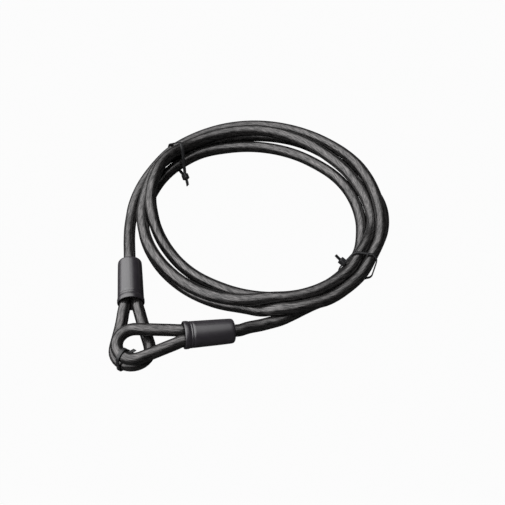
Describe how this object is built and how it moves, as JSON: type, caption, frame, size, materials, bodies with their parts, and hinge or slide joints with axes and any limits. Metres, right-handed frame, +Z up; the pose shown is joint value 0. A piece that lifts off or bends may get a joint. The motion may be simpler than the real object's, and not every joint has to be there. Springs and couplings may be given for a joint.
{
  "type": "double-loop security cable",
  "caption": "Plastic-jacketed steel cable with a crimped eye and moulded ferrule cover at each end, coiled flat and held with cable ties",
  "frame": {"origin": "on the surface the coil lies on, under the centre of the whole object's box", "axes": "+Z up through the coil, +Y from the end eyes towards the coil, +X to the right when looking along +Y"},
  "size_m": [0.2335, 0.2698, 0.0279],
  "materials": {
    "jacket": "smoked black PVC, glossy, the rope's strands showing through",
    "wire_rope": "galvanised stranded wire",
    "ferrule": "pressed, satin",
    "cover": "moulded, satin",
    "tie": "moulded nylon, satin"
  },
  "bodies": {
    "root": {"cable_coil": "jacket", "lead_a": "jacket", "lead_b": "jacket", "eye_jacket_a": "jacket", "eye_jacket_b": "jacket", "wire_rope_a": "wire_rope", "wire_rope_b": "wire_rope", "ferrule_a": "ferrule", "ferrule_b": "ferrule", "cover_a": "cover", "cover_b": "cover", "tie_upper": "tie", "tie_right": "tie", "tie_eyes": "tie"}
  },
  "joints": []
}
